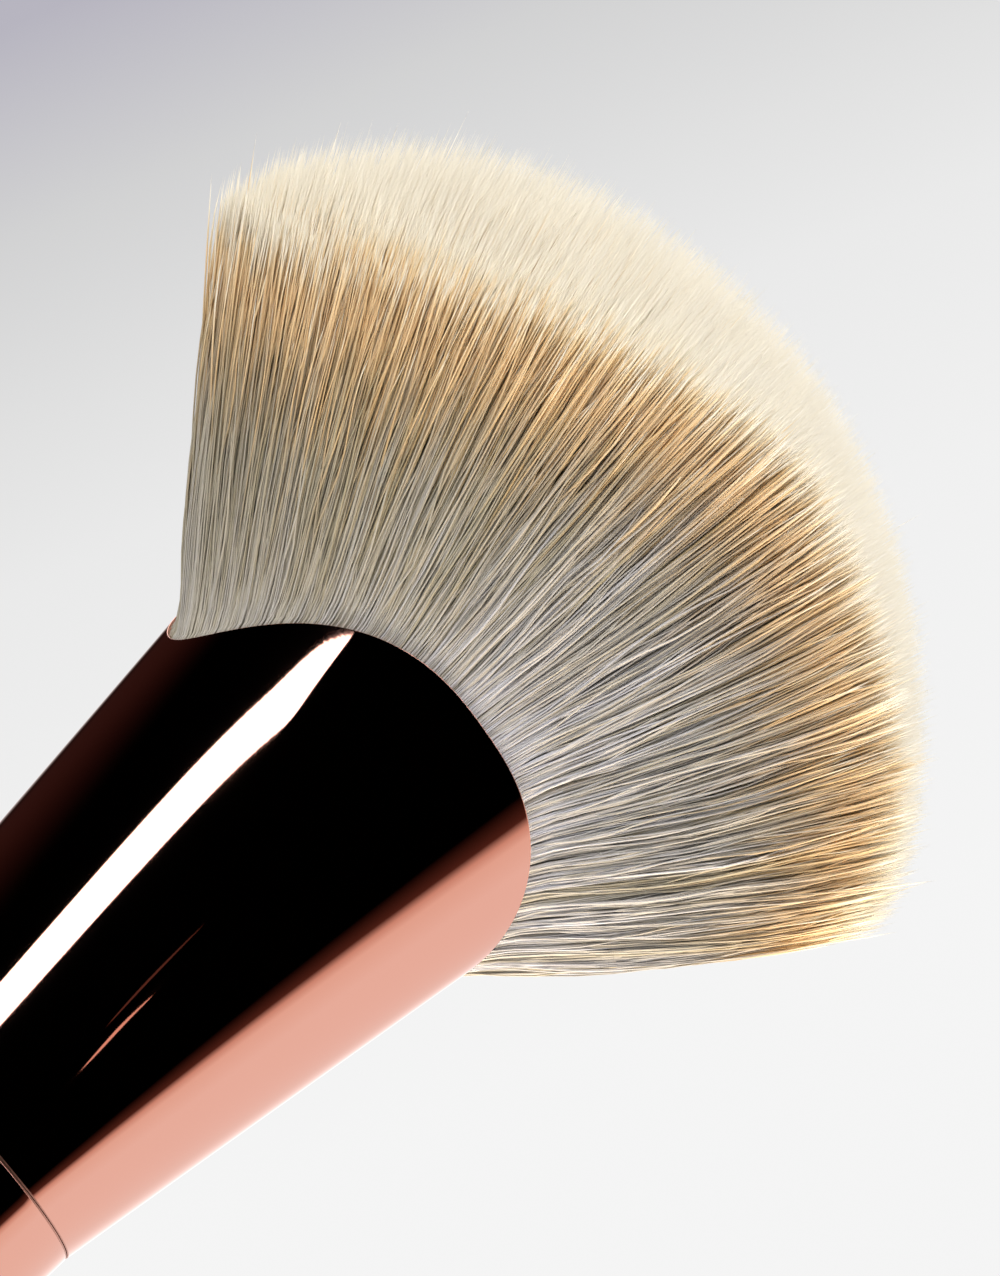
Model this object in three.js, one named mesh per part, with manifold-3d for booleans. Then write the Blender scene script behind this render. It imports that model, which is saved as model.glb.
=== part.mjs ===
// Fan makeup brush: a fanned tuft of filaments, glued in a pinched oval ferrule on a slim metal handle.
// The brush stands on the flat end of its handle, whose centre is the origin. Z runs along the brush to the
// tips of the hairs, X across the width of the fan and Y through its thickness. Sizes are in millimetres.

import * as THREE from 'three';
import { mergeVertices } from 'three/addons/utils/BufferGeometryUtils.js';
import Module from 'manifold-3d';

const wasm = await Module();
wasm.setup();

// Handle: a tapered metal shell over a dowel, closed by a flat cap
const HANDLE_LENGTH = 132;
const HANDLE_END_RADIUS = 5;
const HANDLE_BELLY_RADIUS = 7.8;
const HANDLE_BELLY_DROP = 34;
const HANDLE_TOP_RADIUS = 7.55;
const SHELL_WALL = 0.9;
const CAP_HEIGHT = 2.2;
const CAP_EDGE_RADIUS = 0.7;
const CAP_PLUG_LENGTH = 8;

// Joint line between the handle and the ferrule
const GROOVE_WIDTH = 0.45;
const GROOVE_DEPTH = 0.3;

// Ferrule: round at the joint, a flattened oval at the mouth, its rim dipping at the two narrow sides
const FERRULE_HEIGHT = 29.3;
const FERRULE_WALL = 0.45;
const MOUTH_WIDTH = 24;
const MOUTH_THICKNESS = 12.2;
const MOUTH_SQUARENESS = 2.4;
const RIM_DIP = 7.65;
const RIM_DIP_SHARPNESS = 2.7;

// What the ferrule holds, from the lowest point of the rim down
const ROOT_SETBACK = 1.6;
const ROOT_HEIGHT = 6.5;
const RESIN_DEPTH = 3.5;
const THREAD_THICKNESS = 0.7;
const THREAD_WIDTH = 3;
const THREAD_OFFSET = 0.8;

// Hairs outside the ferrule
const HAIR_LENGTH = 24.7;
const FAN_HALF_ANGLE = 39;
const FLARE_HALF_ANGLE = 14;
const DOME_RADIUS = 29;
const DOME_DEPTH_RADIUS = 16;
const BEND_ABOVE_RIM = 0.4;

// Strands that stand for the hairs, in layers through the thickness of the fan
const LAYER_NAMES = ['front', 'inner_front', 'inner_back', 'back'];
const ROWS_IN_LAYER = 4;
const STRAND_SPACING = 0.68;
const STRAND_ROOT_RADIUS = 0.25;
const STRAND_TIP_RADIUS = 0.22;
const STRAND_EMBED = 0.6;
const STRAND_EDGE_MARGIN = 0.4;
const STRAND_SIDES = 3;

// Fits
const CLEARANCE = 0.2;
const LAYER_GAP = 0.25;

// Fineness of the round surfaces
const ROUND_STEPS = 36;
const OVAL_STEPS = 48;
const HANDLE_STEPS = 10;
const WALL_STEPS = 6;
const EDGE_STEPS = 4;
const TIP_TOLERANCE = 0.001;

function material(color, roughness, metalness) {
  return new THREE.MeshStandardMaterial({ color, roughness, metalness });
}

const brush = new THREE.Group();

function addPiece(name, geometry, finish) {
  const mesh = new THREE.Mesh(geometry, finish);
  mesh.name = name;
  brush.add(mesh);
}

// A turned piece: its profile is a list of (radius, height) points that starts and ends on the axis or closes
// on itself.
function turned(profile) {
  const points = profile.map(([radius, height]) => new THREE.Vector2(radius, height));
  const geometry = new THREE.LatheGeometry(points, ROUND_STEPS);
  geometry.rotateX(Math.PI / 2);
  return geometry;
}

// A surface through rings of equally many points. It closes on itself, or ends in a flat cap at each end.
function skinned(rings, closesOnItself) {
  const count = rings[0].length;
  const points = rings.flat();
  const faces = [];
  const spans = closesOnItself ? rings.length : rings.length - 1;
  for (let span = 0; span < spans; span += 1) {
    const low = span * count;
    const high = ((span + 1) % rings.length) * count;
    for (let i = 0; i < count; i += 1) {
      const next = (i + 1) % count;
      faces.push(low + i, low + next, high + next, low + i, high + next, high + i);
    }
  }
  if (!closesOnItself) {
    const last = (rings.length - 1) * count;
    for (let i = 1; i + 1 < count; i += 1) {
      faces.push(0, i + 1, i, last, last + i, last + i + 1);
    }
  }
  const positions = points.flatMap((point) => point.toArray());
  const geometry = new THREE.BufferGeometry();
  geometry.setAttribute('position', new THREE.Float32BufferAttribute(positions, 3));
  geometry.setIndex(faces);
  return geometry;
}

function toSolid(geometry) {
  const bare = geometry.clone();
  bare.deleteAttribute('normal');
  bare.deleteAttribute('uv');
  const merged = mergeVertices(bare);
  return new wasm.Manifold(new wasm.Mesh({
    numProp: 3,
    vertProperties: new Float32Array(merged.attributes.position.array),
    triVerts: new Uint32Array(merged.index.array),
  }));
}

function toGeometry(solid) {
  const mesh = solid.getMesh();
  const geometry = new THREE.BufferGeometry();
  geometry.setAttribute('position', new THREE.BufferAttribute(mesh.vertProperties, 3));
  geometry.setIndex(new THREE.BufferAttribute(mesh.triVerts, 1));
  return geometry;
}

// Handle shell, its profile a smooth curve from the cap over the belly to the joint
const handleCurve = new THREE.SplineCurve([
  new THREE.Vector2(HANDLE_END_RADIUS, CAP_HEIGHT),
  new THREE.Vector2(HANDLE_BELLY_RADIUS, HANDLE_LENGTH - HANDLE_BELLY_DROP),
  new THREE.Vector2(HANDLE_TOP_RADIUS, HANDLE_LENGTH),
]);
const handleProfile = handleCurve.getPoints(HANDLE_STEPS).map((point) => [point.x, point.y]);

function handleRadius(height) {
  const above = Math.max(1, handleProfile.findIndex((point) => point[1] >= height));
  const [lowRadius, lowHeight] = handleProfile[above - 1];
  const [highRadius, highHeight] = handleProfile[above];
  return THREE.MathUtils.mapLinear(height, lowHeight, highHeight, lowRadius, highRadius);
}

const grooveHeight = HANDLE_LENGTH - GROOVE_WIDTH;
const outerHeights = handleProfile.map((point) => point[1]).filter((height) => height < grooveHeight);

function addHandleShell(finish) {
  const outer = [...outerHeights, grooveHeight].map((height) => [handleRadius(height), height]);
  const neckRadius = HANDLE_TOP_RADIUS - GROOVE_DEPTH;
  const neck = [[neckRadius, grooveHeight], [neckRadius, HANDLE_LENGTH]];
  const innerHeights = [...outerHeights, HANDLE_LENGTH].reverse();
  const inner = innerHeights.map((height) => [handleRadius(height) - SHELL_WALL, height]);
  const profile = [...outer, ...neck, ...inner];
  addPiece('handle_shell', turned([...profile, profile[0]]), finish);
}

function addEndCap(finish) {
  const plugRadius = HANDLE_END_RADIUS - SHELL_WALL - CLEARANCE;
  const flangeTop = CAP_HEIGHT - CLEARANCE;
  const edge = [];
  for (let i = 0; i <= EDGE_STEPS; i += 1) {
    const turn = (i / EDGE_STEPS) * (Math.PI / 2);
    edge.push([
      HANDLE_END_RADIUS - CAP_EDGE_RADIUS * (1 - Math.sin(turn)),
      CAP_EDGE_RADIUS * (1 - Math.cos(turn)),
    ]);
  }
  const plugTop = CAP_HEIGHT + CAP_PLUG_LENGTH;
  const flange = [[HANDLE_END_RADIUS, flangeTop], [plugRadius, flangeTop]];
  const profile = [[0, 0], ...edge, ...flange, [plugRadius, plugTop], [0, plugTop]];
  addPiece('end_cap', turned(profile), finish);
}

// Ferrule sections. Heights in the ferrule are measured from the joint.
function ferruleSize(height, inset) {
  const share = THREE.MathUtils.clamp(height / FERRULE_HEIGHT, 0, 1);
  return {
    halfWidth: THREE.MathUtils.lerp(HANDLE_TOP_RADIUS, MOUTH_WIDTH / 2, share) - inset,
    halfThickness: THREE.MathUtils.lerp(HANDLE_TOP_RADIUS, MOUTH_THICKNESS / 2, share) - inset,
    squareness: THREE.MathUtils.lerp(2, MOUTH_SQUARENESS, share),
  };
}

function ovalPoint(height, angle, inset) {
  const { halfWidth, halfThickness, squareness } = ferruleSize(height, inset);
  const cosine = Math.cos(angle);
  const sine = Math.sin(angle);
  const reach = (Math.abs(cosine) ** squareness + Math.abs(sine) ** squareness) ** (-1 / squareness);
  return new THREE.Vector3(halfWidth * cosine * reach, halfThickness * sine * reach, HANDLE_LENGTH + height);
}

function ovalRing(heightAt, inset) {
  const ring = [];
  for (let i = 0; i < OVAL_STEPS; i += 1) {
    const angle = (i / OVAL_STEPS) * 2 * Math.PI;
    ring.push(ovalPoint(heightAt(angle), angle, inset));
  }
  return ring;
}

const rimHeight = (angle) => FERRULE_HEIGHT - RIM_DIP * Math.abs(Math.cos(angle)) ** RIM_DIP_SHARPNESS;
const ferruleFoot = CLEARANCE;

function addFerrule(finish) {
  const shares = Array.from({ length: WALL_STEPS + 1 }, (_, i) => i / WALL_STEPS);
  const wallRings = (inset) => shares.map(
    (share) => ovalRing((angle) => THREE.MathUtils.lerp(ferruleFoot, rimHeight(angle), share), inset));
  addPiece('ferrule', skinned([...wallRings(0), ...wallRings(FERRULE_WALL).reverse()], true), finish);
}

// Levels inside the ferrule: the tuft's root, the resin under it, and the tenon that fills the rest
const rootTop = FERRULE_HEIGHT - RIM_DIP - ROOT_SETBACK;
const rootFoot = rootTop - ROOT_HEIGHT;
const resinTop = rootFoot - CLEARANCE;
const resinFoot = resinTop - RESIN_DEPTH;
const tenonTop = resinFoot - CLEARANCE;
const innerFit = FERRULE_WALL + CLEARANCE;

function addHandleCore(finish) {
  const inset = SHELL_WALL + CLEARANCE;
  const foot = CAP_HEIGHT + CAP_PLUG_LENGTH + CLEARANCE;
  const heights = [foot, ...outerHeights.filter((height) => height > foot), HANDLE_LENGTH];
  const body = heights.map((height) => [handleRadius(height) - inset, height]);
  const tenonSize = ferruleSize(tenonTop, innerFit);
  const shellBore = HANDLE_TOP_RADIUS - inset;
  const tenonRadius = Math.min(shellBore, tenonSize.halfWidth, tenonSize.halfThickness);
  const tenonHeight = HANDLE_LENGTH + tenonTop;
  const profile = [[0, foot], ...body, [tenonRadius, tenonHeight], [0, tenonHeight]];
  addPiece('handle_core', turned(profile), finish);
}

function ovalBlock(foot, top, inset) {
  return skinned([ovalRing(() => foot, inset), ovalRing(() => top, inset)], false);
}

function addResinPlug(finish) {
  addPiece('resin_plug', ovalBlock(resinFoot, resinTop, innerFit), finish);
}

// The thread lies in a waist of the tuft's root.
const threadFoot = rootFoot + THREAD_OFFSET;
const threadTop = threadFoot + THREAD_WIDTH;
const threadInset = innerFit + THREAD_THICKNESS;

function addBindingThread(finish) {
  const rings = [
    ovalRing(() => threadFoot, innerFit),
    ovalRing(() => threadTop, innerFit),
    ovalRing(() => threadTop, threadInset),
    ovalRing(() => threadFoot, threadInset),
  ];
  addPiece('binding_thread', skinned(rings, true), finish);
}

// Root block with the waist for the thread
function rootBlock() {
  const waistInset = threadInset + CLEARANCE;
  const waistFoot = threadFoot - CLEARANCE;
  const waistTop = threadTop + CLEARANCE;
  const rings = [
    ovalRing(() => rootFoot, innerFit),
    ovalRing(() => waistFoot, innerFit),
    ovalRing(() => waistFoot, waistInset),
    ovalRing(() => waistTop, waistInset),
    ovalRing(() => waistTop, innerFit),
    ovalRing(() => rootTop, innerFit),
  ];
  return skinned(rings, false);
}

// A hair keeps its place in the tuft as a share of the tuft's size. It follows the ferrule up to the rim, then
// spreads with the fan. Two hairs with different shares never meet.
const rootSize = ferruleSize(rootTop, innerFit);
const fanSpread = Math.tan(THREE.MathUtils.degToRad(FAN_HALF_ANGLE));
const flareSpread = Math.tan(THREE.MathUtils.degToRad(FLARE_HALF_ANGLE));
const domeCentre = FERRULE_HEIGHT + HAIR_LENGTH - DOME_RADIUS;

const bendHeight = (across, through) => rimHeight(Math.atan2(through, across)) + BEND_ABOVE_RIM;

function hairPoint(across, through, height) {
  const bend = bendHeight(across, through);
  const size = ferruleSize(Math.min(height, bend), innerFit);
  const risen = Math.max(0, height - bend);
  return new THREE.Vector3(
    across * (size.halfWidth + risen * fanSpread),
    through * (size.halfThickness + risen * flareSpread),
    HANDLE_LENGTH + height,
  );
}

// The tips lie on a dome, found by halving the stretch between the bend and the top of the fan.
function tipHeight(across, through) {
  let low = bendHeight(across, through);
  let high = FERRULE_HEIGHT + HAIR_LENGTH;
  while (high - low > TIP_TOLERANCE) {
    const middle = (low + high) / 2;
    const point = hairPoint(across, through, middle);
    const rise = (middle - domeCentre) / DOME_RADIUS;
    const reach = Math.hypot(point.x / DOME_RADIUS, point.y / DOME_DEPTH_RADIUS, rise);
    if (reach < 1) {
      low = middle;
    } else {
      high = middle;
    }
  }
  return low;
}

// A strand's section has one corner towards the outside of the fan.
function strandRing(centre, radius) {
  const ring = [];
  const outward = centre.x < 0 ? Math.PI : 0;
  for (let i = 0; i < STRAND_SIDES; i += 1) {
    const angle = outward + (i / STRAND_SIDES) * 2 * Math.PI;
    const corner = new THREE.Vector3(radius * Math.cos(angle), radius * Math.sin(angle), 0);
    ring.push(corner.add(centre));
  }
  return ring;
}

function strand(across, through) {
  const heights = [rootTop - STRAND_EMBED, bendHeight(across, through), tipHeight(across, through)];
  const radii = [STRAND_ROOT_RADIUS, STRAND_ROOT_RADIUS, STRAND_TIP_RADIUS];
  return skinned(heights.map((height, i) => strandRing(hairPoint(across, through, height), radii[i])), false);
}

// One row of strands: it spans the root block at one depth, short of the block's edge.
function strandRow(depth) {
  const through = depth / rootSize.halfThickness;
  const chord = (1 - Math.abs(through) ** rootSize.squareness) ** (1 / rootSize.squareness);
  const reach = chord * rootSize.halfWidth - STRAND_EDGE_MARGIN;
  const count = Math.floor((2 * reach) / STRAND_SPACING) + 1;
  const row = [];
  for (let i = 0; i < count; i += 1) {
    const place = (i - (count - 1) / 2) * STRAND_SPACING;
    row.push(strand(place / rootSize.halfWidth, through));
  }
  return row;
}

// Each layer of the fan is a slice of the root block with its rows of strands.
function addBristles(finish) {
  const block = toSolid(rootBlock());
  const footSize = ferruleSize(rootFoot, innerFit);
  const pitch = (2 * rootSize.halfThickness) / LAYER_NAMES.length;
  LAYER_NAMES.forEach((name, layer) => {
    const isFirst = layer === 0;
    const isLast = layer === LAYER_NAMES.length - 1;
    const near = -rootSize.halfThickness + layer * pitch;
    const far = near + pitch;
    const sliceNear = isFirst ? -footSize.halfThickness - LAYER_GAP : near + LAYER_GAP / 2;
    const sliceFar = isLast ? footSize.halfThickness + LAYER_GAP : far - LAYER_GAP / 2;
    const slab = new THREE.BoxGeometry(MOUTH_WIDTH, sliceFar - sliceNear, FERRULE_HEIGHT);
    slab.translate(0, (sliceNear + sliceFar) / 2, HANDLE_LENGTH + FERRULE_HEIGHT / 2);
    let solid = block.intersect(toSolid(slab));
    for (let row = 0; row < ROWS_IN_LAYER; row += 1) {
      const depth = near + LAYER_GAP / 2 + ((row + 0.5) / ROWS_IN_LAYER) * (pitch - LAYER_GAP);
      strandRow(depth).forEach((piece) => {
        solid = solid.add(toSolid(piece));
      });
    }
    addPiece(`bristles_${name}`, toGeometry(solid), finish.clone());
  });
}

const roseGold = material(0xe8a898, 0.12, 1);
addEndCap(roseGold);
addHandleShell(roseGold.clone());
addHandleCore(material(0xc8a678, 0.7, 0));
addFerrule(roseGold.clone());
addResinPlug(material(0xd8c48a, 0.35, 0));
addBindingThread(material(0xece6da, 0.85, 0));
addBristles(material(0xcabfae, 0.6, 0));

export default brush;
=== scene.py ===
import math

import bpy
import numpy as np
from mathutils import Matrix, Vector
from mathutils.kdtree import KDTree


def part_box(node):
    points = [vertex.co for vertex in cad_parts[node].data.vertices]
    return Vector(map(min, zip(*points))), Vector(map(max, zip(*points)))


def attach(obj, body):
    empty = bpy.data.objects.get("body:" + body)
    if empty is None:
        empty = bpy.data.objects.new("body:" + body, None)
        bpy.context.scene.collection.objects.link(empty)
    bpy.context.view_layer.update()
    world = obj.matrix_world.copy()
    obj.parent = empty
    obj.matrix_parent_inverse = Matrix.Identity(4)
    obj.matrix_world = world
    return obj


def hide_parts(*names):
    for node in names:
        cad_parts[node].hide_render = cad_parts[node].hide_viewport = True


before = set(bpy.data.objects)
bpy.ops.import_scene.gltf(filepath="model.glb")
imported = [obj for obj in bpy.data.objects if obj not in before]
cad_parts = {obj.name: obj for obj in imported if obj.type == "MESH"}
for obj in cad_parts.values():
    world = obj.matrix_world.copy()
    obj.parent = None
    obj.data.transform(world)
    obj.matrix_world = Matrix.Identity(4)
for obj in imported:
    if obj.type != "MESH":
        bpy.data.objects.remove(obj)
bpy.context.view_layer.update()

# End cap. A turned aluminium disc with a plug behind it, pressed into the lower end of the handle.
# Its underside is flat and its lower edge is rounded over. It carries the same rose gold plating as
# the rest of the metal.

MM = 0.001
METAL_SIDES = 160
CAP_EDGE = 0.7 * MM
CAP_EDGE_STEPS = 8
CAP_PLUG_INSET = 1.1 * MM
CAP_SEAM = 0.2 * MM


def begin_ring(radius, height):
    """A ring of edges round the brush's axis, left open in edit mode."""
    bpy.ops.object.select_all(action="DESELECT")
    bpy.ops.mesh.primitive_circle_add(
        vertices=METAL_SIDES, radius=radius, fill_type="NOTHING", location=(0, 0, height))
    bpy.ops.object.mode_set(mode="EDIT")
    bpy.ops.mesh.select_all(action="SELECT")


def draw_out(profile):
    """Extrudes the open ring along (radius, height) points, widening it about the axis at each."""
    for (last_radius, last_height), (radius, height) in zip(profile, profile[1:]):
        bpy.ops.mesh.extrude_region_move(TRANSFORM_OT_translate={"value": (0, 0, height - last_height)})
        widen = radius / last_radius
        bpy.ops.transform.resize(value=(widen, widen, 1), center_override=(0, 0, 0))


def close_piece(name, fill_ends):
    """Leaves edit mode with the normals outward and the piece's place in its mesh."""
    if fill_ends:
        bpy.ops.mesh.select_all(action="SELECT")
        bpy.ops.mesh.fill_holes(sides=0)
    bpy.ops.mesh.select_all(action="SELECT")
    bpy.ops.mesh.normals_make_consistent(inside=False)
    bpy.ops.object.mode_set(mode="OBJECT")
    bpy.ops.object.transform_apply(location=True, rotation=True, scale=True)
    piece = bpy.context.object
    piece.name = name
    piece.data.name = name
    return piece


def apply_modifier(piece, kind, **settings):
    modifier = piece.modifiers.new(kind.lower(), kind)
    for name, value in settings.items():
        setattr(modifier, name, value)
    bpy.ops.object.modifier_apply(modifier=modifier.name)


class Wire:
    """A socket of a node tree. Arithmetic on it adds Math nodes."""

    def __init__(self, nodes, socket):
        self.nodes = nodes
        self.socket = socket

    def math(self, operation, *values):
        return self.nodes.add("Math", {"operation": operation}, dict(enumerate(values)))

    def __add__(self, other):
        return self.math("ADD", self, other)

    def __sub__(self, other):
        return self.math("SUBTRACT", self, other)

    def __rsub__(self, other):
        return self.math("SUBTRACT", other, self)

    def __mul__(self, other):
        return self.math("MULTIPLY", self, other)

    __radd__ = __add__
    __rmul__ = __mul__


class Nodes:
    """A node tree under construction. add() makes any node and returns one of its outputs as a Wire."""

    def __init__(self, tree):
        self.tree = tree
        tree.nodes.clear()

    def add(self, kind, settings=None, inputs=None, output=0):
        node = self.tree.nodes.new("ShaderNode" + kind)
        for name, value in (settings or {}).items():
            if name == "stops":
                self.set_stops(node.color_ramp, value)
            else:
                setattr(node, name, value)
        for name, value in (inputs or {}).items():
            if isinstance(value, Wire):
                self.tree.links.new(value.socket, node.inputs[name])
            else:
                node.inputs[name].default_value = value
        if node.outputs:
            return Wire(self, node.outputs[output])

    def set_stops(self, ramp, stops):
        while len(ramp.elements) < len(stops):
            ramp.elements.new(1.0)
        for element, (place, colour) in zip(ramp.elements, stops):
            element.position = place
            element.color = (*colour, 1)

    def mix(self, share, first, second):
        return self.add("Mix", {"data_type": "RGBA"}, {0: share, 6: first, 7: second}, 2)

    def smooth_step(self, value, start, end, low=0.0, high=1.0):
        sockets = {"Value": value, "From Min": start, "From Max": end, "To Min": low, "To Max": high}
        return self.add("MapRange", {"interpolation_type": "SMOOTHSTEP"}, sockets)


def new_finish(name):
    material = bpy.data.materials.new(name)
    material.use_nodes = True
    return material, Nodes(material.node_tree)


ROSE_GOLD = (0.83, 0.43, 0.34, 1)
ROSE_GOLD_DEEP = (0.80, 0.395, 0.305, 1)
SEAM_GLUE = (0.50, 0.26, 0.20, 1)

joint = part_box("handle_shell")[1].z


def rose_gold_plate():
    """Mirror plating with a faint haze, polishing lines round the piece and a little drift in its tint."""
    material, nodes = new_finish("rose gold plate")
    place = nodes.add("TexCoord", output="Object")
    drift = nodes.add("TexNoise", None, {"Vector": place, "Scale": 55.0, "Detail": 3.0})
    round_the_piece = nodes.add("Mapping", None, {"Vector": place, "Scale": (60.0, 60.0, 5200.0)})
    lines = nodes.add("TexNoise", None, {"Vector": round_the_piece, "Scale": 1.0, "Detail": 2.0})
    haze = nodes.add("TexNoise", None, {"Vector": place, "Scale": 420.0, "Detail": 6.0, "Roughness": 0.65})
    normal = nodes.add("Bump", None, {"Strength": 0.012, "Distance": 0.02 * MM, "Height": lines})
    above_joint = nodes.add("SeparateXYZ", None, {0: place}, "Z") - joint
    seam = nodes.smooth_step(above_joint.math("ABSOLUTE", above_joint), 0.12 * MM, 0.06 * MM)
    plate = nodes.mix(drift, ROSE_GOLD, ROSE_GOLD_DEEP)
    shader = nodes.add("BsdfPrincipled", None, {
        "Base Color": nodes.mix(0.6 * seam, plate, SEAM_GLUE),
        "Metallic": 1.0,
        "Roughness": 0.012 + 0.022 * haze + 0.008 * lines + 0.4 * seam,
        "Normal": normal,
    })
    nodes.add("OutputMaterial", None, {"Surface": shader})
    return material


rose_gold = rose_gold_plate()


def dress(piece, finish, slot, *replaced):
    """Gives a new piece its finish and its place in the frame."""
    piece.data.materials.clear()
    piece.data.materials.append(finish)
    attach(piece, "root")
    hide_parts(*replaced)


cap_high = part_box("end_cap")[1]
cap_radius = cap_high.x
shell_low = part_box("handle_shell")[0]
cap_profile = []
for step in range(CAP_EDGE_STEPS + 1):
    turn = step / CAP_EDGE_STEPS * math.pi / 2
    cap_profile.append((cap_radius - CAP_EDGE * (1 - math.sin(turn)), CAP_EDGE * (1 - math.cos(turn))))
plug_radius = cap_radius - CAP_PLUG_INSET
flange_top = shell_low.z - CAP_SEAM
cap_profile += [(cap_radius, flange_top), (plug_radius, flange_top), (plug_radius, cap_high.z)]
begin_ring(*cap_profile[0])
draw_out(cap_profile)
end_cap = close_piece("end_cap_turned", fill_ends=True)
bpy.ops.object.shade_smooth_by_angle(angle=math.radians(35))
dress(end_cap, rose_gold, "rose_gold", "end_cap")

# Handle shell. A spun aluminium tube, slim at the end and fullest a quarter of the way down from the
# ferrule, plated rose gold. It is glued over the dowel, and its neck leaves a fine groove below the ferrule.

SHELL_WALL = 0.9 * MM
BELLY_RADIUS = 7.8 * MM
BELLY_DROP = 34 * MM
GROOVE_WIDTH = 0.06 * MM
GROOVE_DEPTH = 0.04 * MM
SHOULDER = 0.05 * MM
SHOULDER_STEPS = 5
HANDLE_STEPS = 36

ferrule_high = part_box("ferrule")[1]
joint_radius = ferrule_high.y


def smooth_stretch(start, end, start_pull, end_pull, steps):
    """Points of a cubic stretch from start to end, with the given slopes at its ends."""
    stretch = []
    for step in range(steps):
        t = step / steps
        weights = (2 * t**3 - 3 * t**2 + 1, t**3 - 2 * t**2 + t, 3 * t**2 - 2 * t**3, t**3 - t**2)
        point = weights[0] * start + weights[1] * start_pull
        stretch.append(point + weights[2] * end + weights[3] * end_pull)
    return stretch


handle_end = Vector((cap_radius, shell_low.z))
belly = Vector((BELLY_RADIUS, joint - BELLY_DROP))
handle_top = Vector((joint_radius, joint))
belly_pull = (handle_top - handle_end) / 2
handle_curve = smooth_stretch(handle_end, belly, (belly - handle_end) / 2, belly_pull, HANDLE_STEPS)
handle_curve += smooth_stretch(belly, handle_top, belly_pull, (handle_top - belly) / 2, HANDLE_STEPS)
shoulder_foot = joint - GROOVE_WIDTH - SHOULDER
shell_profile = [tuple(point) for point in handle_curve if point.y < shoulder_foot]
for step in range(SHOULDER_STEPS + 1):
    turn = step / SHOULDER_STEPS * math.pi / 2
    shell_profile.append((
        joint_radius - SHOULDER * (1 - math.cos(turn)), shoulder_foot + SHOULDER * math.sin(turn)))
neck_radius = joint_radius - GROOVE_DEPTH
shell_profile += [(neck_radius, joint - GROOVE_WIDTH), (neck_radius, joint)]
begin_ring(*shell_profile[0])
draw_out(shell_profile)
handle_shell = close_piece("handle_shell_spun", fill_ends=False)
apply_modifier(handle_shell, "SOLIDIFY", thickness=SHELL_WALL, offset=-1)
bpy.ops.object.shade_smooth_by_angle(angle=math.radians(35))
dress(handle_shell, rose_gold, "rose_gold", "handle_shell")

# Handle core. A beech dowel turned to the bore of the shell, with a tenon at the top that the ferrule is
# glued on. None of it shows on the finished brush.


def dowel_wood():
    material, nodes = new_finish("beech dowel")
    place = nodes.add("TexCoord", output="Object")
    along = nodes.add("Mapping", None, {"Vector": place, "Scale": (900.0, 900.0, 60.0)})
    grain = nodes.add("TexNoise", None, {"Vector": along, "Scale": 1.0, "Detail": 5.0})
    stops = [(0.3, (0.40, 0.24, 0.11)), (0.7, (0.62, 0.43, 0.24))]
    bands = nodes.add("ValToRGB", {"stops": stops}, {"Fac": grain})
    normal = nodes.add("Bump", None, {"Strength": 0.2, "Distance": 0.1 * MM, "Height": grain})
    shader = nodes.add("BsdfPrincipled", None, {
        "Base Color": bands, "Roughness": 0.55 + 0.2 * grain, "Normal": normal})
    nodes.add("OutputMaterial", None, {"Surface": shader})
    return material


def finish_node(name, finish):
    """A CAD piece that keeps its shape gets its real finish."""
    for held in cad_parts[name].material_slots:
        held.material = finish


finish_node("handle_core", dowel_wood())

# Ferrule. A drawn tube, round at the joint and pressed to a flattened oval at the mouth. Its rim rises on
# the two broad faces and dips at the narrow sides, so that the hairs can fan out. It is plated rose gold,
# with its edges rolled smooth, and glued on the dowel's tenon.

MOUTH_WIDTH = 24 * MM
MOUTH_THICKNESS = 12.2 * MM
MOUTH_SQUARENESS = 2.4
RIM_DIP = 7.65 * MM
RIM_DIP_SHARPNESS = 2.7
FERRULE_WALL = 0.45 * MM
FERRULE_STEPS = 60
FERRULE_EDGE = 0.025 * MM
FERRULE_HOLDING = 0.06 * MM
FERRULE_SEAM = 0.03 * MM

ferrule_foot = joint + FERRULE_SEAM
ferrule_height = ferrule_high.z - joint


def oval_size(height, inset=0.0):
    """Half width, half thickness and squareness of the ferrule at a height above the joint."""
    share = np.clip(height / ferrule_height, 0, 1)
    half_width = joint_radius + share * (MOUTH_WIDTH / 2 - joint_radius) - inset
    half_thickness = joint_radius + share * (MOUTH_THICKNESS / 2 - joint_radius) - inset
    return half_width, half_thickness, 2 + share * (MOUTH_SQUARENESS - 2)


def rim_height(angle):
    return ferrule_height - RIM_DIP * np.abs(np.cos(angle)) ** RIM_DIP_SHARPNESS


def press_to_oval(mesh):
    """Moves the points of a straight tube to the oval of the ferrule, its top ring to the rim."""
    for vertex in mesh.vertices:
        angle = math.atan2(vertex.co.y, vertex.co.x)
        share = (vertex.co.z - ferrule_foot) / (ferrule_high.z - ferrule_foot)
        height = FERRULE_SEAM + share * (rim_height(angle) - FERRULE_SEAM)
        half_width, half_thickness, squareness = oval_size(height)
        cosine, sine = math.cos(angle), math.sin(angle)
        reach = (abs(cosine) ** squareness + abs(sine) ** squareness) ** (-1 / squareness)
        vertex.co = (half_width * cosine * reach, half_thickness * sine * reach, joint + height)


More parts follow.
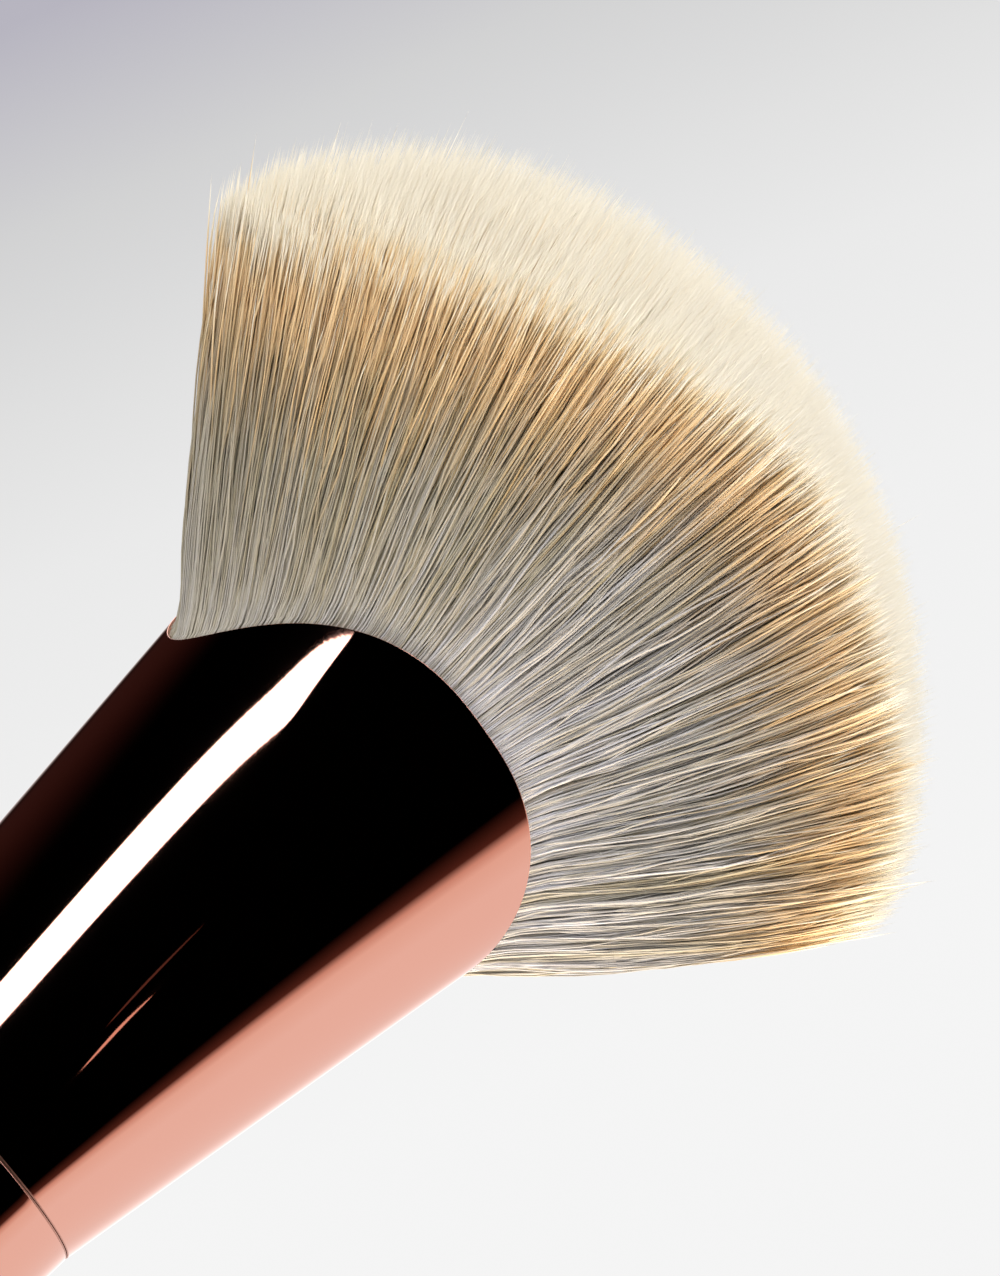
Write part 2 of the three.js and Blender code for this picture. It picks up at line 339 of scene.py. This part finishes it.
ferrule_rings = list(np.linspace(ferrule_foot, ferrule_high.z, FERRULE_STEPS + 1))
ferrule_rings.insert(1, ferrule_foot + FERRULE_HOLDING)
ferrule_rings.insert(-1, ferrule_high.z - FERRULE_HOLDING)
ferrule_profile = [(joint_radius, height) for height in ferrule_rings]
begin_ring(*ferrule_profile[0])
draw_out(ferrule_profile)
ferrule = close_piece("ferrule_pressed", fill_ends=False)
press_to_oval(ferrule.data)
apply_modifier(ferrule, "SOLIDIFY", thickness=FERRULE_WALL, offset=-1)
apply_modifier(
    ferrule, "BEVEL", width=FERRULE_EDGE, segments=3, limit_method="ANGLE", angle_limit=math.radians(50))
bpy.ops.object.shade_smooth()
apply_modifier(ferrule, "WEIGHTED_NORMAL", weight=90)
dress(ferrule, rose_gold, "rose_gold", "ferrule")

# Resin plug and binding thread. The hairs are tied at the root with thread and set in a plug of amber resin,
# which fills the ferrule under them. Both are hidden in the finished brush.


def amber_resin():
    material, nodes = new_finish("amber resin")
    place = nodes.add("TexCoord", output="Object")
    cloud = nodes.add("TexNoise", None, {"Vector": place, "Scale": 300.0, "Detail": 4.0})
    tint = nodes.mix(cloud, (0.69, 0.50, 0.20, 1), (0.62, 0.42, 0.14, 1))
    shader = nodes.add("BsdfPrincipled", None, {"Base Color": tint, "Roughness": 0.15 + 0.2 * cloud})
    nodes.add("OutputMaterial", None, {"Surface": shader})
    return material


def undyed_thread():
    material, nodes = new_finish("undyed thread")
    place = nodes.add("TexCoord", output="Object")
    wave = {"Vector": place, "Scale": 800.0, "Distortion": 1.0}
    turns = nodes.add("TexWave", {"bands_direction": "Z"}, wave)
    tint = nodes.mix(turns, (0.50, 0.46, 0.39, 1), (0.84, 0.79, 0.70, 1))
    normal = nodes.add("Bump", None, {"Strength": 0.6, "Distance": 0.1 * MM, "Height": turns})
    shader = nodes.add("BsdfPrincipled", None, {"Base Color": tint, "Roughness": 0.85, "Normal": normal})
    nodes.add("OutputMaterial", None, {"Surface": shader})
    return material


finish_node("resin_plug", amber_resin())
finish_node("binding_thread", undyed_thread())

# Hairs. Tapered synthetic filaments a tenth of a millimetre thick, dyed in bands: pale grey from the root,
# then tan, then cream at the tip. They are set in the resin, fill the ferrule's mouth, fan out over the rim,
# gather in locks and are trimmed to a rounded dome. Hairs deeper in the tuft are given painted shade toward
# the root and a painted golden glow near the tip.

HAIR_COUNT = 54000
HAIR_RADIUS = 0.058 * MM
HAIR_LENGTH = 24.9 * MM
HAIR_ROOT_DEPTH = 2.5 * MM
HAIR_FIT = FERRULE_WALL + 0.12 * MM
FAN_SPREAD_LEFT, FAN_SPREAD_RIGHT = 1.145, 0.988
FAN_CURL_LEFT, FAN_CURL_RIGHT = 7.1, 12.3
FLARE_SPREAD = 0.268
FLARE_CURL = 14.0
BEND_ABOVE_RIM = 0.4 * MM
BEND_ROUNDING = 0.8 * MM
DOME_RADIUS = 29 * MM
DOME_DEPTH_RADIUS = 16 * MM
DOME_THINNING = 0.29
LEFT_CORNER_CUT = 1.3 * MM
SHORT_SHARE = 0.3
SHORT_BY = 3.2 * MM
TRIM_SPREAD = 0.25 * MM
SHORTEST_HAIR = 2 * MM
UNRULY_SHARE = 0.015
UNRULY_TIMES = 3.0
STRAY_SHARE = 0.03
STRAY_DEPTH = 0.03
HAIR_WANDER = (0.26 * MM, 0.24 * MM)
HAIR_BOW = 0.09 * MM
HAIR_SWAY = 0.15 * MM
TIP_THICKNESS = 0.55
TIP_TAPER = 9 * MM
LOCK_COUNTS = {0.14: 1700, 0.32: 1100, 0.5: 750, 0.68: 520, 0.86: 380}
LOCK_PULLS = {0.14: 0.55, 0.32: 0.52, 0.5: 0.4, 0.68: 0.2, 0.86: 0.05}
LOCK_REACH = 0.13
TONE_LOCK = 0.32
TONE_SPREAD = 0.15
BAND_LENGTH = 40 * MM
BAND_BLUR = 0.35 * MM
BAND_WAVE = 0.45 * MM
INNER_CREAM = 3.0 * MM
LEFT_CREAM = 1.6 * MM
RIGHT_CREAM = 1.6 * MM
HAIR_MAP = "OFBake"

draw = np.random.default_rng(11)


def places_in_tuft(count):
    """Random places in the tuft's oval, as shares of its half width and half thickness."""
    found = draw.uniform(-1, 1, (count * 2, 2))
    return found[tuft_depth(found) > 0][:count]


def tuft_depth(places):
    """How far places lie from the tuft's edge: 0 at the edge, 1 in the middle."""
    return 1 - (np.abs(places) ** MOUTH_SQUARENESS).sum(1) ** (1 / MOUTH_SQUARENESS)


def rim_beside(places):
    """Height of the ferrule's rim next to the given places."""
    return rim_height(np.arctan2(places[:, 1], places[:, 0]))


def hair_at(places, height):
    """Where the hairs of the given places pass a height above the joint."""
    across, through = places.T
    bend = rim_beside(places) + BEND_ABOVE_RIM
    past = height - bend
    risen = (past + np.sqrt(past**2 + BEND_ROUNDING**2)) / 2
    half_width, half_thickness, _ = oval_size(np.minimum(height, bend), HAIR_FIT)
    to_right = (across + 1) / 2
    spread = FAN_SPREAD_LEFT + to_right * (FAN_SPREAD_RIGHT - FAN_SPREAD_LEFT)
    curl = FAN_CURL_LEFT + to_right * (FAN_CURL_RIGHT - FAN_CURL_LEFT)
    x = across * (half_width + spread * (risen - curl * risen**2))
    y = through * (half_thickness + FLARE_SPREAD * (risen - FLARE_CURL * risen**2))
    return np.stack([x, y, height], 1)


def tip_heights(places):
    """Heights at which the hairs meet the dome, by halving."""
    centre = ferrule_height + HAIR_LENGTH - DOME_RADIUS
    low = rim_beside(places)
    high = np.full_like(low, ferrule_height + HAIR_LENGTH)
    for _ in range(24):
        middle = (low + high) / 2
        x, y, z = hair_at(places, middle).T
        depth_radius = DOME_DEPTH_RADIUS + DOME_THINNING * np.minimum(x, 0)
        reach = (x / DOME_RADIUS) ** 2 + (y / depth_radius) ** 2 + ((z - centre) / DOME_RADIUS) ** 2
        low = np.where(reach < 1, middle, low)
        high = np.where(reach < 1, high, middle)
    return low


lock_middles = {share: places_in_tuft(count) for share, count in LOCK_COUNTS.items()}


def nearest_lock(places, middles):
    """The number of the lock that each place lies nearest to."""
    shape = np.array([MOUTH_WIDTH, MOUTH_THICKNESS])
    tree = KDTree(len(middles))
    for number, middle in enumerate(middles * shape):
        tree.insert((*middle, 0), number)
    tree.balance()
    return np.array([tree.find((*place, 0))[1] for place in places * shape])


def pull_to_locks(places, middles):
    """How far each hair is drawn to the middle of its nearest lock. Locks are firmer on the right."""
    nearest = nearest_lock(places, middles)
    firmness = np.random.default_rng(len(middles)).uniform(0.3, 1.0, len(middles))
    pull = firmness[nearest] * (0.1 + 0.9 * np.clip(places[:, 0] + 0.7, 0, 1))
    return pull[:, None] * (middles[nearest] - places)


def trimmed_tips(places, bend):
    """Tip heights after trimming. Some hairs are shorter, and the left corner is cut back."""
    count = len(places)
    short = np.where(draw.random(count) < SHORT_SHARE, draw.uniform(0, SHORT_BY, count), 0)
    short += LEFT_CORNER_CUT * np.clip((-places[:, 0] - 0.55) / 0.45, 0, 1) ** 1.5
    tips = tip_heights(places) - short + draw.normal(0, TRIM_SPREAD, count)
    return np.maximum(tips, bend + SHORTEST_HAIR)


def drift_of_hairs(places):
    """A function of the share along the hairs that gives how far each has left its straight course."""
    count = len(places)
    unruly = np.where(draw.random(count) < UNRULY_SHARE, UNRULY_TIMES, 1.0)[:, None]
    wander = draw.normal(0, 1, (count, 2)) * np.array(HAIR_WANDER) * unruly
    bow = draw.normal(0, 1, (count, 2)) * HAIR_BOW * unruly
    sway = draw.normal(0, HAIR_SWAY, (count, 2))
    cycles = draw.uniform(0.6, 1.7, (count, 2))
    phase = draw.uniform(0, 1, (count, 2))
    astray = (tuft_depth(places) < STRAY_DEPTH) & (draw.random(count) < STRAY_SHARE)
    outward = places * (astray * draw.uniform(0.2, 1.0, count) * MM)[:, None]

    def drift(share):
        swing = sway * np.sin(2 * math.pi * (phase + cycles * share)) * min(1, share / 0.2)
        return (wander + outward) * share**1.5 + bow * math.sin(math.pi * share) + swing

    return drift


def hair_lines(places, shares):
    """Points along each hair at shares of its length above the rim. A share below 0 is in the ferrule."""
    bend = rim_beside(places) + BEND_ABOVE_RIM
    tips = trimmed_tips(places, bend)
    drift = drift_of_hairs(places)
    pulls = {middle: pull_to_locks(places, middles) for middle, middles in lock_middles.items()}
    lines = []
    for share in shares:
        if share < 0:
            lines.append(hair_at(places, bend - HAIR_ROOT_DEPTH))
            continue
        held = places.copy()
        for middle, pull in pulls.items():
            held += LOCK_PULLS[middle] * pull * math.exp(-((share - middle) / LOCK_REACH) ** 2)
        points = hair_at(held, bend + share * (tips - bend))
        points[:, :2] += drift(share)
        lines.append(points)
    return np.stack(lines, 1)


def strand_faces(rings):
    """Corner numbers of one three-sided strand, closed at the root and drawn to a point at the tip."""
    faces = [[0, 2, 1]]
    for low in range(0, 3 * (rings - 1), 3):
        for side in range(3):
            after = (side + 1) % 3
            faces.append([low + side, low + after, low + 3 + after, low + 3 + side])
    last = 3 * (rings - 1)
    for side in range(3):
        faces.append([last + side, last + (side + 1) % 3, last + 3])
    return faces


def lengths_to_tip(lines):
    """Distance from each point of a hair to its tip, along the hair."""
    steps = np.linalg.norm(np.diff(lines, axis=1), axis=2)
    return np.concatenate([np.cumsum(steps[:, ::-1], 1)[:, ::-1], np.zeros((len(lines), 1))], 1)


def strand_points(lines, to_tip):
    """Three points round each point of a hair, closer together toward the tip, and one at the tip."""
    count, levels = lines.shape[:2]
    rings = levels - 1
    taper = np.clip(TIP_THICKNESS + to_tip / TIP_TAPER, 0, 1)
    thick = HAIR_RADIUS * draw.uniform(0.8, 1.2, (count, 1)) * taper
    corner = draw.uniform(0, 2 * math.pi, (count, 1, 1)) + np.arange(3) * 2 * math.pi / 3
    points = np.repeat(lines, 3, 1)[:, :-2]
    ring = points[:, :-1].reshape(count, rings, 3, 3)
    ring[..., 0] += thick[:, :-1, None] * np.cos(corner)
    ring[..., 1] += thick[:, :-1, None] * np.sin(corner)
    points[:, :-1] = ring.reshape(count, rings * 3, 3)
    points[..., 2] += joint
    return points


def mesh_of_strands(name, points, faces):
    """A smooth mesh of many strands that share one pattern of faces."""
    count, corners = points.shape[:2]
    pattern = np.array([number for face in faces for number in face])
    sizes = np.tile([len(face) for face in faces], count)
    mesh = bpy.data.meshes.new(name)
    mesh.vertices.add(count * corners)
    mesh.vertices.foreach_set("co", points.ravel())
    mesh.loops.add(count * len(pattern))
    mesh.loops.foreach_set("vertex_index", (np.arange(count)[:, None] * corners + pattern).ravel())
    mesh.polygons.add(len(sizes))
    mesh.polygons.foreach_set("loop_start", np.concatenate([[0], np.cumsum(sizes)[:-1]]))
    mesh.polygons.foreach_set("loop_total", sizes)
    mesh.polygons.foreach_set("use_smooth", np.ones(len(sizes), bool))
    return mesh, pattern


def strand_mesh(name, lines, tones, longer_cream):
    """One mesh of strands. Its map holds a strand's tone across and the distance from its tip along."""
    rings = lines.shape[1] - 1
    to_tip = lengths_to_tip(lines)
    points = strand_points(lines, to_tip)
    mesh, pattern = mesh_of_strands(name, points, strand_faces(rings))
    level_of = np.minimum(np.arange(points.shape[1]) // 3, rings)[pattern]
    distance = to_tip - longer_cream[:, None] + draw.normal(0, BAND_BLUR, (len(lines), 1))
    u = tones[:, None] + 0.006 * (pattern % 3 - 1)
    v = 1 - np.clip(distance[:, level_of] / BAND_LENGTH, 0.001, 0.999)
    layer = mesh.uv_layers.new(name=HAIR_MAP)
    layer.data.foreach_set("uv", np.stack([u, v], 2).ravel())
    mesh.update(calc_edges=True)
    mesh.validate()
    return mesh


def from_tip(distance):
    """Place on the map of a distance from the tip in millimetres."""
    return 1 - distance * MM / BAND_LENGTH


def dyed_filament():
    """Colour by the distance from the tip. Tones run from pale, cool strands to deep, golden ones. The deep
    ramp is partly dye and partly painted light: darker than the pale one toward the root as painted shade
    between the hairs, brighter and more golden near the tip as painted glow of light through the filaments.
    """
    material, nodes = new_finish("dyed filament")
    spot = nodes.add("UVMap", {"uv_map": HAIR_MAP})
    tone = nodes.add("SeparateXYZ", None, {0: spot}, "X")
    along = nodes.add("SeparateXYZ", None, {0: spot}, "Y")
    pale = nodes.add("ValToRGB", {"stops": [
        (from_tip(17), (0.66, 0.66, 0.73)),
        (from_tip(10), (0.56, 0.555, 0.585)),
        (from_tip(6.4), (0.51, 0.46, 0.42)),
        (from_tip(4.8), (0.56, 0.45, 0.34)),
        (from_tip(3.5), (0.70, 0.53, 0.35)),
        (from_tip(2.2), (0.85, 0.70, 0.50)),
        (from_tip(1.0), (0.96, 0.90, 0.79)),
    ]}, {"Fac": along})
    # Deep tone: dye plus painted shade toward the root and painted glow near the tip.
    deep = nodes.add("ValToRGB", {"stops": [
        (from_tip(17), (0.49, 0.44, 0.33)),
        (from_tip(10), (0.45, 0.39, 0.26)),
        (from_tip(6.4), (0.51, 0.39, 0.22)),
        (from_tip(4.8), (0.70, 0.50, 0.26)),
        (from_tip(3.0), (0.86, 0.61, 0.33)),
        (from_tip(1.8), (0.91, 0.70, 0.41)),
        (from_tip(0.7), (0.96, 0.88, 0.72)),
    ]}, {"Fac": along})
    shader = nodes.add("BsdfPrincipled", None, {
        "Base Color": nodes.mix(tone, pale, deep),
        "Roughness": 0.4 + 0.15 * tone,
        "Specular IOR Level": 0.5,
    })
    nodes.add("OutputMaterial", None, {"Surface": shader})
    return material


filament = dyed_filament()
hair_places = places_in_tuft(HAIR_COUNT)
hair_across = hair_places[:, 0]
hair_depth = tuft_depth(hair_places)
leftness = np.clip(-hair_across, 0, 1)
lock_of_hair = nearest_lock(hair_places, lock_middles[TONE_LOCK])
lock_tone = draw.normal(0, TONE_SPREAD, LOCK_COUNTS[TONE_LOCK])[lock_of_hair]
own_tone = draw.normal(0, TONE_SPREAD, HAIR_COUNT)
# The tone differs at random by hair and by lock and leans deep on the left; hairs deeper in the tuft take
# more of the deep tone, which is painted shade and glow for the gaps between hairs.
hair_tone_and_painted_shade = 0.3 + (own_tone + lock_tone) * (1 - 0.6 * leftness) + 0.5 * leftness
hair_tone_and_painted_shade = np.clip(hair_tone_and_painted_shade + 0.55 * np.clip(hair_depth / 0.08, 0, 1), 0.01, 0.99)
longer_cream = BAND_WAVE * np.cos(2 * math.pi * (hair_across - 0.1) / 1.9)
longer_cream += INNER_CREAM * np.clip(10 * hair_depth - 1, 0, 1)
longer_cream += LEFT_CREAM * np.clip(10 * leftness / (1 - hair_depth) - 9, 0, 1)
longer_cream += RIGHT_CREAM * np.clip(4 * hair_across - 2.6, 0, 1)
hair_layer = np.clip(np.floor((hair_places[:, 1] + 1) * 2), 0, 3).astype(int)
on_left = hair_across < 0
TUFT_LAYERS = ("bristles_front", "bristles_inner_front", "bristles_inner_back", "bristles_back")
DEPTH_GROUPS = {
    "skin": (0, 0.06, (-1, 0, 0.06, 0.13, 0.21, 0.29, 0.38, 0.47, 0.56, 0.65, 0.74, 0.83, 0.92, 1)),
    "under": (0.06, 0.2, (-1, 0, 0.14, 0.32, 0.52, 0.72, 0.88, 1)),
    "core": (0.2, 1, (0.06, 0.45, 0.8, 1)),
}
for layer, node in enumerate(TUFT_LAYERS):
    for group, (shallow, deep, shares) in DEPTH_GROUPS.items():
        in_group = (hair_layer == layer) & (hair_depth >= shallow) & (hair_depth < deep)
        for side, on_side in (("left", on_left), ("right", ~on_left)):
            name = "_".join([node.replace("bristles", "hairs"), group, side])
            chosen = in_group & on_side
            lines = hair_lines(hair_places[chosen], shares)
            mesh = strand_mesh(name, lines, hair_tone_and_painted_shade[chosen], longer_cream[chosen])
            hairs = bpy.data.objects.new(name, mesh)
            bpy.context.collection.objects.link(hairs)
            dress(hairs, filament, "bristle", node)

# Floor. A pale matte board that the brush stands on. It keeps the shadow and fades out into the backdrop,
# sooner in what the polished metal mirrors.

FLOOR_SIZE = 3.0


def pale_board():
    material, nodes = new_finish("pale board")
    place = nodes.add("TexCoord", output="Object")
    far = nodes.add("VectorMath", {"operation": "LENGTH"}, {0: place}, "Value")
    cover = nodes.smooth_step(far, 0.3, 0.9, 1.0, 0.0)
    mirrored_cover = nodes.smooth_step(far, 0.03, 0.14, 1.0, 0.0)
    glossy_ray = nodes.add("LightPath", output="Is Glossy Ray")
    speckle = nodes.add("TexNoise", None, {"Vector": place, "Scale": 180.0, "Detail": 3.0})
    tint = nodes.mix(speckle, (0.60, 0.60, 0.60, 1), (0.63, 0.63, 0.63, 1))
    shader = nodes.add("BsdfPrincipled", None, {
        "Base Color": tint,
        "Roughness": 0.8,
        "Alpha": cover + glossy_ray * (mirrored_cover - cover),
    })
    nodes.add("OutputMaterial", None, {"Surface": shader})
    return material


bpy.ops.object.select_all(action="DESELECT")
bpy.ops.mesh.primitive_plane_add(size=FLOOR_SIZE)
floor = bpy.context.object
floor.name = "floor"
floor.data.materials.append(pale_board())

# Studio. Softboxes at the front left, above and behind, and a warm bounce card low at the right, light the
# brush. Its polished metal mirrors a white sweep at the right, the softboxes above and behind, and curved
# strips that stand for softboxes close to it, with dark surroundings elsewhere.

SWEEP_AZIMUTH = 104
SHADOW_FILL = (0.36, 0.35, 0.33)
PLAIN_SURROUNDINGS = (0.80, 0.80, 0.80, 1)
BACKDROP_MIDDLE = (0.407, 0.874, 0.265)
BACKDROP_SLOPE = (0.972, -0.349, -0.342)


def mirrored_studio(nodes, direction):
    """What polished metal sees: the white sweep with its brown edge, and a faint brown beyond it."""
    x = nodes.add("SeparateXYZ", None, {0: direction}, "X")
    y = nodes.add("SeparateXYZ", None, {0: direction}, "Y")
    turn = math.radians(SWEEP_AZIMUTH)
    along = x * math.sin(turn) + y * -math.cos(turn)
    aside = x * math.cos(turn) + y * math.sin(turn)
    degrees = 180 / math.pi
    angle = aside.math("ARCTAN2", aside, along) * degrees
    near_edge = nodes.add("MapRange", None, {"Value": angle, "From Min": -64, "From Max": -40})
    edge = nodes.add("ValToRGB", {"stops": [
        (0.0, (0, 0, 0)),
        (0.25, (0.08, 0.03, 0.022)),
        (0.37, (0.75, 0.55, 0.48)),
        (0.52, (0.95, 0.87, 0.82)),
        (1.0, (1, 1, 1)),
    ]}, {"Fac": near_edge})
    far_end = nodes.smooth_step(angle, 46, 78, 1.0, 0.0)
    brightness = nodes.smooth_step(angle, 5, 50, 0.98, 1.35)
    brown = nodes.smooth_step(angle, 60, 92) * nodes.smooth_step(angle, 165, 92, 0.0, 0.03)
    sweep = nodes.add("VectorMath", {"operation": "SCALE"}, {0: edge, "Scale": brightness * far_end})
    warm = nodes.add("VectorMath", {"operation": "SCALE"}, {0: (1.0, 0.4, 0.35), "Scale": brown})
    return nodes.add("VectorMath", {"operation": "ADD"}, {0: sweep, 1: warm})


def share_along(nodes, direction, axis):
    return nodes.add("VectorMath", {"operation": "DOT_PRODUCT"}, {0: direction, 1: axis}, "Value")


def seen_backdrop(nodes, direction):
    """What the camera sees: a backdrop with painted shade that darkens it toward one corner, and plain pale
    surroundings past it.
    """
    down_right = share_along(nodes, direction, BACKDROP_SLOPE)
    backdrop_painted_shade = nodes.add("MapRange", None, {"Value": down_right, "From Min": -0.169, "From Max": 0.121})
    # Painted shade: the backdrop's colour runs from a dark bluish grey in one corner to near white.
    backdrop = nodes.add("ValToRGB", {"stops": [
        (0.0, (0.474, 0.462, 0.527)),
        (0.15, (0.645, 0.645, 0.65)),
        (0.29, (0.753, 0.753, 0.753)),
        (0.40, (0.823, 0.823, 0.823)),
        (0.60, (0.875, 0.875, 0.875)),
        (0.90, (0.91, 0.91, 0.91)),
    ]}, {"Fac": backdrop_painted_shade})
    ahead = share_along(nodes, direction, BACKDROP_MIDDLE)
    return nodes.mix(nodes.smooth_step(ahead, 0.92, 0.975), PLAIN_SURROUNDINGS, backdrop)


def studio_world():
    world = bpy.data.worlds.new("studio")
    bpy.context.scene.world = world
    world.use_nodes = True
    nodes = Nodes(world.node_tree)
    direction = nodes.add("TexCoord", output="Generated")
    mirrored = mirrored_studio(nodes, direction)
    fill = nodes.add("VectorMath", {"operation": "ADD"}, {0: mirrored, 1: SHADOW_FILL})
    glossy_ray = nodes.add("LightPath", output="Is Glossy Ray")
    lit = nodes.mix(glossy_ray, fill, mirrored)
    camera_ray = nodes.add("LightPath", output="Is Camera Ray")
    shown = nodes.mix(camera_ray, lit, seen_backdrop(nodes, direction))
    light = nodes.add("Background", None, {"Color": shown, "Strength": 1.0})
    nodes.add("OutputWorld", None, {"Surface": light})


studio_world()


def softbox(name, azimuth, elevation, distance, width, height, radiance, aim,
            lies_flat=False, colour=(1, 1, 1), mirrored=True):
    """A rectangular light aimed at a point, or facing up. Azimuth 0 is in front, 90 to the right."""
    a = math.radians(azimuth)
    e = math.radians(elevation)
    out = Vector((math.sin(a) * math.cos(e), -math.cos(a) * math.cos(e), math.sin(e)))
    data = bpy.data.lights.new(name, "AREA")
    data.shape = "RECTANGLE"
    data.size = width
    data.size_y = height
    data.energy = radiance * math.pi * width * height
    data.color = colour
    lamp = bpy.data.objects.new(name, data)
    lamp.location = Vector(aim) + out * distance
    lamp.rotation_mode = "QUATERNION"
    facing = Vector((0, 0, 1)) if lies_flat else -out
    lamp.rotation_quaternion = facing.to_track_quat("-Z", "Y")
    lamp.visible_camera = False
    lamp.visible_glossy = mirrored
    bpy.context.collection.objects.link(lamp)


head = (0, 0, joint + ferrule_height)
softbox("key_softbox", -55, 25, 0.7, 0.5, 0.5, 4.6, head, mirrored=False)
softbox("top_softbox", 30, 80, 0.7, 0.5, 0.5, 3.6, head)
softbox("back_softbox", 205, 38, 0.7, 0.5, 0.5, 2.0, head)
softbox("bounce_card", 80, -23, 0.4, 0.4, 0.3, 14.5, head,
        lies_flat=True, colour=(1, 0.83, 0.57), mirrored=False)

STRIP_DISTANCE = 100 * MM
WHITE_GLOW = (1, 1, 1, 1)
ROSE_GLOW = (1, 0.66, 0.55, 1)
DEEP_ROSE_GLOW = (1, 0.5, 0.4, 1)


def light_strip(name, rows, colour, strength):
    """A curved light close to the ferrule. Each row is a height above the joint and two azimuths."""
    points = []
    for height, *edges in rows:
        for azimuth in edges:
            a = math.radians(azimuth)
            points.append((math.sin(a) * STRIP_DISTANCE, -math.cos(a) * STRIP_DISTANCE, joint + height * MM))
    faces = [(low, low + 1, low + 3, low + 2) for low in range(0, len(points) - 2, 2)]
    mesh = bpy.data.meshes.new(name)
    mesh.from_pydata(points, [], faces)
    material, nodes = new_finish(name)
    glow = nodes.add("Emission", None, {"Color": colour, "Strength": strength})
    nodes.add("OutputMaterial", None, {"Surface": glow})
    mesh.materials.append(material)
    strip = bpy.data.objects.new(name, mesh)
    bpy.context.collection.objects.link(strip)
    smooth = strip.modifiers.new("smooth", "SUBSURF")
    smooth.levels = smooth.render_levels = 3
    strip.visible_camera = False
    strip.visible_diffuse = False
    strip.visible_shadow = False


light_strip("strip_light", [
    (-128, -78, -64), (-80, -78, -64), (-40, -77, -63), (-15, -73.5, -59),
    (2, -65, -50.5), (8, -60.3, -46), (15, -54.9, -40.4), (22, -49.6, -35.4),
    (28, -44.6, -31), (34, -38.8, -26.6), (38, -34.2, -23.1), (41, -31.8, -20),
    (43.5, -29, -17.4), (45, -27, -18.3), (47, -23.5, -18.6), (49.5, -19, -18.6),
], WHITE_GLOW, 4.0)
light_strip("thin_glint", [
    (26.2, 8.4, 8.7), (28, 8.1, 9.3), (29.5, 8, 9.5), (31, 8.7, 9.7), (33, 10.2, 10.5),
], ROSE_GLOW, 0.85)
light_strip("faint_glint", [
    (28.4, 3.3, 3.6), (31, 3.4, 4.4), (34, 4.6, 5.4), (38, 6.9, 7),
], DEEP_ROSE_GLOW, 0.1)

# Camera. A long lens close to the head, a little below it and to its left, turned so that the brush leans
# to the right.

CAMERA_AZIMUTH = -24.98
CAMERA_ELEVATION = -15.37
CAMERA_ROLL = 47.69
CAMERA_DISTANCE = 223.5 * MM
CAMERA_AIM = Vector((0.09 * MM, 0, joint + 34.24 * MM))
LENS = 135.5


def photo_camera():
    a = math.radians(CAMERA_AZIMUTH)
    e = math.radians(CAMERA_ELEVATION)
    back = Vector((math.sin(a) * math.cos(e), -math.cos(a) * math.cos(e), math.sin(e)))
    right = (-back).cross(Vector((0, 0, 1))).normalized()
    up = right.cross(-back)
    roll = math.radians(CAMERA_ROLL)
    picture_right = right * math.cos(roll) + up * math.sin(roll)
    picture_up = up * math.cos(roll) - right * math.sin(roll)
    data = bpy.data.cameras.new("camera")
    data.lens = LENS
    data.clip_start = 0.01
    camera = bpy.data.objects.new("camera", data)
    bpy.context.collection.objects.link(camera)
    turn = Matrix((picture_right, picture_up, back)).transposed().to_4x4()
    camera.matrix_world = Matrix.Translation(CAMERA_AIM + back * CAMERA_DISTANCE) @ turn
    bpy.context.scene.camera = camera


photo_camera()
bpy.context.scene.view_settings.view_transform = "Standard"
